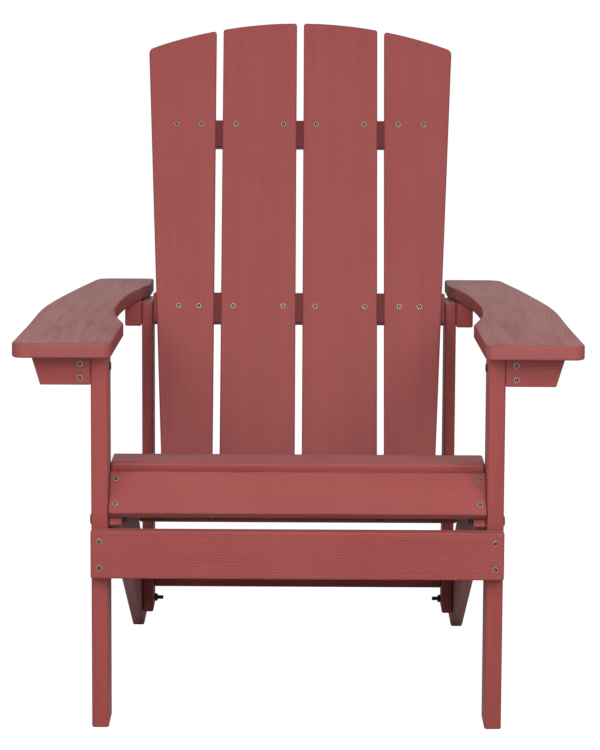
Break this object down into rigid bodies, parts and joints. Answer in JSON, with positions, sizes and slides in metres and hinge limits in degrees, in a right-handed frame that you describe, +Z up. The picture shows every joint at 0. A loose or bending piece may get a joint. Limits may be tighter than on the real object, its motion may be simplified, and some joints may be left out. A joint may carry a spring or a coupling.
{
  "type": "adirondack chair",
  "caption": "Adirondack garden chair with a sloping slatted seat, a tall arched slatted back that leans back, and wide flat arms.",
  "frame": {"origin": "on the ground, under the middle of the chair's width and depth", "axes": "+Z up, +X to the right as seen from the front, and the chair faces -Y"},
  "size_m": [0.7474, 0.836, 0.9056],
  "materials": {
    "red_board": "matt red with an embossed wood grain",
    "zinc_steel": "zinc-plated, satin",
    "black_steel": "black oxide, satin"
  },
  "bodies": {
    "root": {"apron_screw_left_lower": "zinc_steel", "apron_screw_left_upper": "zinc_steel", "apron_screw_right_lower": "zinc_steel", "apron_screw_right_upper": "zinc_steel", "arm_bracket_left": "red_board", "arm_bracket_right": "red_board", "arm_left": "red_board", "arm_level_beam": "red_board", "arm_right": "red_board", "back_slat_inner_left": "red_board", "back_slat_inner_right": "red_board", "back_slat_outer_left": "red_board", "back_slat_outer_right": "red_board", "cleat_bolt_left": "zinc_steel", "cleat_bolt_right": "zinc_steel", "cleat_nut_left": "zinc_steel", "cleat_nut_right": "zinc_steel", "front_apron": "red_board", "front_arm_cleat_left": "red_board", "front_arm_cleat_right": "red_board", "front_leg_left": "red_board", "front_leg_right": "red_board", "front_slat_screw_left_lower": "zinc_steel", "front_slat_screw_left_upper": "zinc_steel", "front_slat_screw_right_lower": "zinc_steel", "front_slat_screw_right_upper": "zinc_steel", "leg_bolt_left_lower": "zinc_steel", "leg_bolt_left_upper": "zinc_steel", "leg_bolt_right_lower": "zinc_steel", "leg_bolt_right_upper": "zinc_steel", "leg_nut_left_lower": "zinc_steel", "leg_nut_left_upper": "zinc_steel", "leg_nut_right_lower": "zinc_steel", "leg_nut_right_upper": "zinc_steel", "lower_back_batten": "red_board", "post_bolt_left_lower": "black_steel", "post_bolt_left_upper": "black_steel", "post_bolt_right_lower": "black_steel", "post_bolt_right_upper": "black_steel", "post_nut_left_lower": "black_steel", "post_nut_left_upper": "black_steel", "post_nut_right_lower": "black_steel", "post_nut_right_upper": "black_steel", "rear_arm_block_left": "red_board", "rear_arm_block_right": "red_board", "rear_crossbar": "red_board", "rear_post_left": "red_board", "rear_post_right": "red_board", "seat_front_slat": "red_board", "seat_nose_slat": "red_board", "seat_slat_1": "red_board", "seat_slat_2": "red_board", "seat_slat_3": "red_board", "seat_slat_4": "red_board", "seat_slat_5": "red_board", "side_rail_left": "red_board", "side_rail_right": "red_board", "upper_back_batten": "red_board"}
  },
  "joints": []
}
